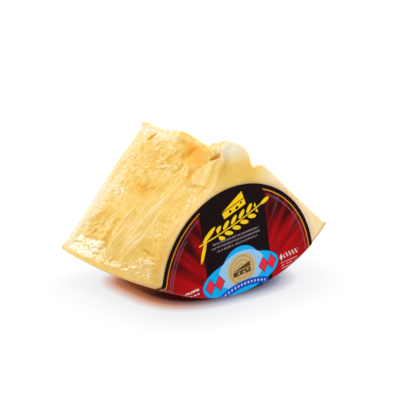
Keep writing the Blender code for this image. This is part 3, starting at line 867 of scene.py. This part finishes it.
class Paint:
    """A material's node tree, with its shader and short ways to add nodes."""

    def __init__(self, name):
        self.material = bpy.data.materials.new(name)
        self.material.use_nodes = True
        self.tree = self.material.node_tree
        self.shader = self.tree.nodes["Principled BSDF"]

    def node(self, kind, **settings):
        made = self.tree.nodes.new("ShaderNode" + kind)
        for key, value in settings.items():
            setattr(made, key, value)
        return made

    def link(self, source, socket):
        self.tree.links.new(source.socket if isinstance(source, Field) else source, socket)

    def attribute(self, name):
        return Field(self.tree, self.node("Attribute", attribute_name=name).outputs["Fac"])

    def place(self):
        return self.node("TexCoord").outputs["Object"]

    def cloud(self, size, detail=3.0, place=None):
        """A texture node of cloudy noise with lumps of about this size in metres."""
        texture = self.node("TexNoise")
        texture.inputs["Scale"].default_value = 1.0 / size
        texture.inputs["Detail"].default_value = detail
        self.link(place or self.place(), texture.inputs["Vector"])
        return texture

    def noise(self, size, detail=3.0, place=None):
        return Field(self.tree, self.cloud(size, detail, place).outputs["Fac"])

    def pushed_about(self, size, reach):
        """The place, moved by up to about reach in lumps of about this size."""
        centred = self.node("VectorMath", operation="SUBTRACT")
        self.link(self.cloud(size).outputs["Color"], centred.inputs[0])
        centred.inputs[1].default_value = (0.5, 0.5, 0.5)
        moved = self.node("VectorMath", operation="MULTIPLY_ADD")
        self.link(centred.outputs[0], moved.inputs[0])
        moved.inputs[1].default_value = (2 * reach, 2 * reach, 2 * reach)
        self.link(self.place(), moved.inputs[2])
        return moved.outputs[0]

    def crumbs(self, size, place):
        """Rounded grains of about this size side by side: how high each stands, 1 on top and about 0 in the creases,
        and a number of its own from 0 to 1."""
        cells = self.node("TexVoronoi")
        cells.inputs["Scale"].default_value = 1.0 / size
        self.link(place, cells.inputs["Vector"])
        parts = self.node("SeparateColor")
        self.link(cells.outputs["Color"], parts.inputs[0])
        dome = Field(self.tree, cells.outputs["Distance"]).squared() * -1.6 + 1.0
        return dome.clamped(), Field(self.tree, parts.outputs[0])

    def plane(self, across, up):
        """A place made of two numbers."""
        made = self.node("CombineXYZ")
        self.link(across, made.inputs[0])
        self.link(up, made.inputs[1])
        return made.outputs[0]

    def mix(self, share, low, high):
        """A colour that goes from low to high. Each is a colour or another mix."""
        made = self.node("Mix", data_type="RGBA")
        self.link(share, made.inputs[0])
        for socket, colour in ((made.inputs[6], low), (made.inputs[7], high)):
            if isinstance(colour, tuple):
                socket.default_value = (*colour, 1.0)
            else:
                self.link(colour, socket)
        return made.outputs[2]

    def bump(self, height, distance, strength=1.0):
        made = self.node("Bump")
        made.inputs["Strength"].default_value = strength
        made.inputs["Distance"].default_value = distance
        self.link(height, made.inputs["Height"])
        self.link(made.outputs[0], self.shader.inputs["Normal"])

    def set(self, **values):
        for key, value in values.items():
            self.shader.inputs[key.replace("_", " ").title()].default_value = value


def srgb(red, green, blue):
    """A colour given as it looks on a screen, 0 to 255, in linear light."""
    def linear(c):
        c = c / 255
        return c / 12.92 if c <= 0.04045 else ((c + 0.055) / 1.055) ** 2.4
    return linear(red), linear(green), linear(blue)


DEEP_PASTE = srgb(251, 174, 36)
GOLDEN_PASTE = srgb(238, 190, 68)
PLAIN_PASTE = srgb(242, 202, 100)
LIGHT_PASTE = srgb(247, 218, 144)
CREAM_PASTE = srgb(252, 231, 196)
PAINTED_GLINT = srgb(255, 250, 238)
RIND_DARK = srgb(212, 160, 94)
RIND_LIGHT = srgb(230, 186, 120)


def make_cheese_finish():
    """Pale grainy paste, painted orange in its hollows and thin walls for shade and for light shining through it, with
    painted glints along the rind; and a smoother, browner rind, under clear film.
    """
    paint = Paint("cheese_paste")
    names = ("proud_shade", "tone_and_shade", "rind", "crumbly", "flaky", "fan", "strip", "depth_mm", "height_mm")
    proud_shade, tone_and_shade, rind, crumbly, flaky, fan, strip, depth, height = [paint.attribute(name) for name in names]
    fine = paint.noise(0.0014, detail=3.0)
    cloud = paint.noise(0.013, detail=2.0)
    place = paint.pushed_about(0.0030, 0.0016)
    small, small_own = paint.crumbs(0.0019, place)
    large, large_own = paint.crumbs(0.0050, place)
    # Flakes that lie in slowly turning rows
    lean = (paint.noise(1.0, 1.0, paint.plane(depth * 0.034, height * 0.034)) - 0.5) * 22
    lean = lean + depth * 0.12 + (depth * (-1 / 30)).math("EXPONENT") * 20
    flakes = paint.noise(1.0, 4.0, paint.plane(depth * 0.20, (height + lean) * 0.58))
    # Long streaks that lean with the shards, and hairlines between them
    across = depth - (height * (-1 / 42)).math("EXPONENT") * 28
    streak = paint.noise(1.0, 4.0, paint.plane(across * 0.34, height * 0.075))
    hairs = (paint.noise(1.0, 2.0, paint.plane(across * 0.75 + 9.0, height * 0.06)) - 0.5).absolute().between(0.05, 0.0)
    hairs = hairs * paint.noise(1.0, 1.0, paint.plane(depth * 0.11, height * 0.05)).between(0.42, 0.56)
    # Crinkles along the rind
    crinkle = paint.noise(1.0, 3.0, paint.plane(depth * 0.34, (height + depth * 0.14) * 0.80))

    grain = small * 0.65 + small_own * 0.35
    lumps = large * 0.4 + large_own * 0.6
    mottle = crumbly * ((grain - 0.5) * 1.4 + (lumps - 0.5) * 0.8) + flaky * (flakes - 0.5) * 2.8
    # On the strip along the rind the crinkles also paint white glints between amber, where the film catches the key
    # light
    mottle = mottle + fan * ((streak - 0.5) * 1.7 + (grain - 0.5) * 0.4 - hairs * 0.32) + strip * (crinkle - 0.53) * 6.5
    # Painted shade in creases and painted light on what stands proud, with the tone and the grain
    pale = tone_and_shade + proud_shade * 0.30 + mottle + (fine - 0.5) * 0.5 + (cloud - 0.5) * 0.9
    paste = paint.mix(pale.between(-1.7, -0.9), DEEP_PASTE, GOLDEN_PASTE)
    paste = paint.mix(pale.between(-0.9, -0.1), paste, PLAIN_PASTE)
    paste = paint.mix(pale.between(-0.1, 0.4), paste, LIGHT_PASTE)
    paste = paint.mix(pale.between(0.4, 1.0), paste, CREAM_PASTE)
    # The palest places: painted glints, and painted light on the knob's top
    paste = paint.mix(pale.between(1.1, 1.5), paste, PAINTED_GLINT)
    rind_colour = paint.mix(cloud.between(0.3, 0.7), RIND_DARK, RIND_LIGHT)
    # Painted shadow: a faint darker line along the label's edge on the face, where the label's edge shades it
    parts = paint.node("SeparateXYZ")
    paint.link(paint.place(), parts.inputs[0])
    x, y, z = [Field(paint.tree, output) for output in parts.outputs]
    centre = LABEL_CENTRE[0] - ORIGIN_X, LABEL_CENTRE[1] - FLOOR_Z
    reach = ((x - centre[0]).squared() + (z - centre[1]).squared()).root()
    label_edge_shadow = reach.between(0.0785, 0.0735) * y.between(-0.056, -0.060) * 0.40
    paint.link(paint.mix(rind.highest(label_edge_shadow).clamped(), paste, rind_colour), paint.shader.inputs["Base Color"])

    paint.link(fine * 0.2 + 0.45, paint.shader.inputs["Roughness"])
    paint.link(strip * 0.9 + 0.1, paint.shader.inputs["Coat Weight"])
    relief = crumbly * (small * 0.6 + large * 0.4) + flaky * flakes + fan * (streak * 0.6 - hairs * 0.2)
    paint.bump(relief + strip * crinkle * 0.5 + fine * 0.2, 0.0005, 0.8)
    paint.set(subsurface_weight=0.6, subsurface_scale=0.0035, coat_roughness=0.16)
    paint.shader.inputs["Specular IOR Level"].default_value = 0.2
    paint.shader.inputs["Subsurface Radius"].default_value = (1.0, 0.55, 0.22)
    return paint.material


def turned(u, v, centre, turn=0.0):
    """The places u, v as seen from a centre, along axes turned by an angle in degrees."""
    c, s = math.cos(math.radians(turn)), math.sin(math.radians(turn))
    du, dv = u - centre[0], v - centre[1]
    return du * c + dv * s, dv * c - du * s


def oval(u, v, centre, radii, turn=0.0):
    """1 inside an oval and 0 outside it."""
    a, b = turned(u, v, centre, turn)
    reach = ((a * (1 / radii[0])).squared() + (b * (1 / radii[1])).squared()).root()
    return ((1 - reach) * min(radii)).between(-0.15, 0.15)


def lozenge(u, v, centre, radii, turn=0.0):
    a, b = turned(u, v, centre, turn)
    reach = a.absolute() * (1 / radii[0]) + b.absolute() * (1 / radii[1])
    return ((1 - reach) * min(radii)).between(-0.2, 0.2)


def wheat_ear(u, v, start, turn, length, grain):
    """An ear of wheat from its start: a curved stem with pairs of grains, each grain this long."""
    a, b = turned(u, v, start, turn)
    b = b + (a * (2.6 / length)).math("SINE") * (0.035 * length)
    stem = a.band(0.0, length) * (0.055 * grain - b.absolute()).between(-0.15, 0.15)
    period = 0.92 * grain
    step, side = a.wrapped(period) - period / 2, b.absolute()
    grains = oval(step, side, (0.0, 0.42 * grain), (0.46 * grain, 0.19 * grain), 32)
    grains = grains * a.band(0.28 * length, 0.28 * length + period * round(0.66 * length / period), 0.05)
    tip = oval(a, b, (length + 0.2 * grain, 0.0), (0.5 * grain, 0.19 * grain))
    return stem.highest(grains).highest(tip)


def cheese_wedge(u, v, centre, turn, size):
    """A wedge of cheese with holes, about size wide."""
    a, b = turned(u, v, centre, turn)
    body = a.band(-0.5 * size, 0.5 * size) * b.band(-0.20 * size, 0.02 * size)
    top = ((a + 0.5 * size) * 0.26 - (b - 0.05 * size)).between(-0.15, 0.15) * b.between(0.045 * size, 0.06 * size)
    top = top * a.between(0.51 * size, 0.49 * size)
    holes = oval(a, b, (-0.18 * size, -0.09 * size), (0.060 * size, 0.055 * size))
    holes = holes.highest(oval(a, b, (0.12 * size, -0.12 * size), (0.075 * size, 0.055 * size)))
    holes = holes.highest(oval(a, b, (0.33 * size, -0.05 * size), (0.045 * size, 0.04 * size)))
    return body.highest(top) * (1 - holes)


BLACK_INK = srgb(22, 7, 9)
RED_INK = srgb(184, 6, 12)
MAROON_INK = srgb(62, 1, 3)
GOLD_INK = srgb(216, 150, 30)
YELLOW_INK = srgb(250, 206, 16)
GREY_INK = srgb(134, 122, 126)
MAUVE_INK_AND_FOLD_SHEEN = srgb(136, 84, 96)
WHITE_INK = srgb(236, 226, 226)
CYAN_INK = srgb(12, 174, 242)
PALE_BLUE_INK = srgb(150, 200, 238)
BLUE_INK = srgb(6, 84, 196)
NAVY_INK = srgb(30, 34, 90)
TAN_INK = srgb(206, 178, 122)
BROWN_INK = srgb(92, 66, 18)
BADGE_RED_INK = srgb(236, 44, 64)


def make_label_finish():
    """The print, in millimetres from the label's middle: a black panel between two red fields of rays, inside a black
    border with a gold line. On it are an ear of wheat, a wedge of cheese, rules and an oval badge. Over the print are
    painted highlights where folds in the film catch the light."""
    paint = Paint("label_print")
    u, v = paint.attribute("print_u"), paint.attribute("print_v")
    reach = (u.squared() + v.squared()).root()
    angle = v.math("ARCTAN2", u) * (180 / math.pi)

    # Rays that spread from below the badge, darker towards the top and the border
    spread = (v + 22.0).math("ARCTAN2", u)
    rays = paint.noise(1.0, 2.0, paint.plane(spread * 9.0, reach * 0.012)).between(0.34, 0.66)
    dark = (v.between(-16.0, 48.0) * 0.80 + reach.between(48.0, 69.0) * 0.35).lowest(0.98) - (rays - 0.36) * 0.75
    colour = paint.mix(dark.clamped(), RED_INK, MAROON_INK)
    # Painted highlights: folds in the film catch the light along some of the rays, painted in mauve
    fold_highlights = paint.noise(1.0, 2.0, paint.plane(spread * 16.0, reach * 0.02 + 5.0)).between(0.60, 0.76)
    colour = paint.mix(fold_highlights * reach.between(36.0, 56.0) * u.between(20.0, 36.0) * 0.30, colour, MAUVE_INK_AND_FOLD_SHEEN)

    # Dashes along the border, and small marks in the red fields
    arc = angle * (math.pi / 180) * reach
    dashes = paint.noise(1.0, 0.0, paint.plane(arc * 0.75, reach.math("ROUND") * 3.0)).between(0.40, 0.52)
    outer = reach.band(65.0, 66.4) * (angle.absolute().band(118.0, 180.0) + angle.band(-4.0, 60.0))
    inner = reach.band(62.6, 63.8) * angle.absolute().band(134.0, 176.0)
    colour = paint.mix((outer + inner).clamped() * dashes * 0.75, colour, MAUVE_INK_AND_FOLD_SHEEN)
    marks = paint.noise(1.0, 0.0, paint.plane(u * 0.95, v.math("ROUND") * 2.3)).between(0.38, 0.50)
    rows = v.band(-3.2, -2.3) + v.band(-5.4, -4.6) + v.band(-7.6, -6.8)
    colour = paint.mix(rows * u.band(40.0, 57.0) * marks * 0.45, colour, WHITE_INK)
    strokes = (u + v * 0.5).wrapped(3.1).band(0.4, 1.7) * v.band(0.4, 4.2) * u.band(43.0, 58.0)
    colour = paint.mix(strokes * 0.75, colour, WHITE_INK)
    colour = paint.mix(lozenge(u, v, (40.6, 2.0), (1.5, 3.0)) * 0.85, colour, WHITE_INK)
    rows = v.band(3.6, 5.4) + v.band(0.6, 1.6)
    colour = paint.mix(rows * u.band(-52.0, -39.0) * marks * 0.8, colour, WHITE_INK)

    # The panel and the border
    panel = u.absolute().between(30.9, 30.3)
    colour = paint.mix(panel.highest(reach.between(69.2, 69.6)), colour, BLACK_INK)
    gold = reach.band(68.6, 69.4) * u.absolute().between(29.6, 30.2)
    colour = paint.mix(gold, colour, GOLD_INK)

    # The rules
    marks = paint.noise(1.0, 0.0, paint.plane(u * 0.9, (v * 0.31).math("ROUND") * 3.7)).between(0.36, 0.48)
    rows = v.band(33.2, 34.6) * u.band(-22.0, 22.0) + v.band(30.1, 31.5) * u.band(-23.0, 23.0)
    rows = rows + v.band(27.0, 28.4) * u.band(-19.0, 20.0)
    colour = paint.mix(rows * marks * 0.85, colour, GREY_INK)

    # The badge
    shape = oval(u, v, (1.0, 2.0), (37.0, 15.5)).highest(oval(u, v, (2.0, 8.0), (18.4, 17.2)))
    colour = paint.mix(shape, colour, NAVY_INK)
    shape = oval(u, v, (1.0, 2.0), (36.4, 14.9)).highest(oval(u, v, (2.0, 8.0), (17.8, 16.6)))
    colour = paint.mix(shape, colour, CYAN_INK)
    colour = paint.mix(oval(u, v, (2.0, 6.0), (22.0, 14.5)), colour, PALE_BLUE_INK)
    colour = paint.mix(oval(u, v, (2.0, 6.0), (13.6, 12.6)), colour, TAN_INK)
    rings = ((u - 2.0).squared() + (v - 6.0).squared()).root().wrapped(3.4).band(0.0, 1.0)
    colour = paint.mix(oval(u, v, (2.0, 6.0), (13.6, 12.6)) * rings * 0.35, colour, BROWN_INK)
    colour = paint.mix(cheese_wedge(u, v, (2.0, 5.0), 0, 17.0), colour, BROWN_INK)
    for place in (-28.5, -19.5, 23.0, 31.0):
        colour = paint.mix(lozenge(u, v, (place, 2.2), (4.9, 6.7)), colour, NAVY_INK)
        colour = paint.mix(lozenge(u, v, (place, 2.2), (4.1, 5.9)), colour, BADGE_RED_INK)
    ribbon = v + (u - 2.0).squared() * 0.009
    colour = paint.mix(ribbon.band(-9.2, -3.6) * u.band(-22.0, 26.0), colour, BLUE_INK)
    dots = oval((u - 2.0).wrapped(3.2), ribbon, (1.6, -6.4), (0.8, 0.9)) * u.band(-19.0, 23.0)
    colour = paint.mix(dots * 0.8, colour, WHITE_INK)

    # The ear of wheat, with a leaf at its foot, and a small wedge above it
    ear = wheat_ear(u, v, (-34.0, 37.0), 14.5, 65.0, 8.6)
    ear = ear.highest(oval(u, v, (-30.5, 31.5), (9.0, 1.5), 68))
    ear = ear.highest(oval(u, v, (-24.0, 43.0), (7.5, 1.8), 35))
    ear = ear.highest(cheese_wedge(u, v, (1.0, 57.5), 14.5, 22.0))
    colour = paint.mix(ear, colour, YELLOW_INK)

    paint.link(colour, paint.shader.inputs["Base Color"])
    paint.set(roughness=0.3)
    paint.shader.inputs["Specular IOR Level"].default_value = 0.04
    return paint.material


# ---------------------------------------------------------------- floor, light and camera

def make_floor():
    """A white floor that glows, with a soft shadow painted into its glow round the foot of the chunk: bluish in front,
    and painted orange at the left for light that has passed through the paste. A painted grey shade round it fades out
    farther away."""
    half = 6.0
    mesh = bpy.data.meshes.new("floor")
    mesh.from_pydata([(-half, -half, 0), (half, -half, 0), (half, half, 0), (-half, half, 0)], [], [(0, 1, 2, 3)])
    floor = bpy.data.objects.new("floor", mesh)
    bpy.context.scene.collection.objects.link(floor)
    paint = Paint("floor_white_painted_shadow")
    parts = paint.node("SeparateXYZ")
    paint.link(paint.place(), parts.inputs[0])
    x, y = Field(paint.tree, parts.outputs[0]), Field(paint.tree, parts.outputs[1])
    # Painted shadow: reach is 1 on an outline round the foot of the chunk, nearer behind it than in front
    deep = y.between(0.0, 0.040) * 4.0 + 19.0
    reach = (x * (1 / 0.062)).absolute().math("POWER", 3.0) + (y * deep * 0.92).absolute().math("POWER", 3.0)
    reach = reach.math("POWER", 1 / 3)
    # The painted shadow: near black under the chunk with a dark red core at the left, orange at its left edge and
    # bluish grey in front
    painted_shadow_fringe = paint.mix(x.between(-0.062, -0.018), (0.56, 0.17, 0.05), (0.30, 0.31, 0.43))
    painted_shadow_core = paint.mix(y.between(-0.015, 0.015) * x.between(-0.030, -0.045), (0.02, 0.00, 0.00), (0.16, 0.03, 0.005))
    colour = paint.mix(reach.between(0.84, 1.01), painted_shadow_core, painted_shadow_fringe)
    # Painted shade round the shadow: light grey fading to the even white of the floor farther out
    colour = paint.mix(reach.between(0.98, 1.21), colour, (0.80, 0.81, 0.83))
    colour = paint.mix(reach.between(1.2, 1.9), colour, (0.90, 0.905, 0.92))
    colour = paint.mix(reach.between(1.9, 3.4), colour, (0.97, 0.97, 0.97))
    paint.link(colour, paint.shader.inputs["Emission Color"])
    paint.set(roughness=1.0, emission_strength=1.0, base_color=(0.09, 0.09, 0.09, 1.0))
    paint.shader.inputs["Specular IOR Level"].default_value = 0.0
    mesh.materials.append(paint.material)


def add_softbox(name, direction, distance, size, radiance, colour=(1, 1, 1)):
    """A square soft light, at a distance from the chunk in a direction, that faces it."""
    light = bpy.data.lights.new(name, "AREA")
    light.shape = "SQUARE"
    light.size = size
    light.energy = radiance * math.pi * size * size
    light.color = colour
    made = bpy.data.objects.new(name, light)
    bpy.context.scene.collection.objects.link(made)
    way = Vector(direction).normalized()
    made.location = Vector((0, 0, 0.05)) + way * distance
    made.rotation_mode = "QUATERNION"
    made.rotation_quaternion = way.to_track_quat("Z", "Y")


WORLD_DARKEST = 0.15
WORLD_BRIGHTEST = 0.65


def make_light():
    """A white studio that is brightest behind the chunk to the left, with a soft key light there and one on top."""
    world = bpy.data.worlds.new("studio")
    bpy.context.scene.world = world
    world.use_nodes = True
    tree = world.node_tree
    background = tree.nodes["Background"]
    background.inputs["Color"].default_value = (1.0, 0.95, 0.88, 1.0)
    coordinates = tree.nodes.new("ShaderNodeTexCoord")
    towards = tree.nodes.new("ShaderNodeVectorMath")
    towards.operation = "DOT_PRODUCT"
    towards.inputs[1].default_value = Vector((-0.45, 0.60, 0.66)).normalized()
    tree.links.new(coordinates.outputs["Generated"], towards.inputs[0])
    strength = tree.nodes.new("ShaderNodeMapRange")
    strength.inputs["From Min"].default_value = -1.0
    strength.inputs["To Min"].default_value = WORLD_DARKEST
    strength.inputs["To Max"].default_value = WORLD_BRIGHTEST
    tree.links.new(towards.outputs["Value"], strength.inputs["Value"])
    tree.links.new(strength.outputs[0], background.inputs["Strength"])
    add_softbox("key", (-0.41, 0.77, 0.55), 1.3, 0.8, 3.25)
    add_softbox("top", (0.1, 0.1, 1.0), 1.4, 0.8, 3.4)
    add_softbox("right", (0.8, 0.25, 0.5), 1.3, 0.6, 9.0)
    add_softbox("front", (0.45, -0.85, 0.35), 1.6, 1.0, 2.4)
    bpy.context.scene.view_settings.view_transform = "Standard"


CAMERA_AIM = (-0.0418, -0.0613, 0.0849)  # the point that the camera looks at
CAMERA_BACK = (-0.57706, -0.76822, 0.27719)  # from there towards the camera
CAMERA_DISTANCE = 1.020
CAMERA_LENS = 126.0


def make_camera():
    camera = bpy.data.cameras.new("camera")
    camera.lens = CAMERA_LENS
    camera.sensor_width = 36.0
    camera.clip_start, camera.clip_end = 0.05, 50.0
    made = bpy.data.objects.new("camera", camera)
    bpy.context.scene.collection.objects.link(made)
    back = Vector(CAMERA_BACK).normalized()
    made.location = Vector(CAMERA_AIM) + back * CAMERA_DISTANCE
    made.rotation_mode = "QUATERNION"
    made.rotation_quaternion = back.to_track_quat("Z", "Y")
    bpy.context.scene.camera = made


make_camera()
make_floor()
make_light()

chunk = make_chunk(make_cheese_finish())
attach(chunk, "root")
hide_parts("cheese")

label = make_label(make_label_finish())
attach(label, "root")
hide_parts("label")
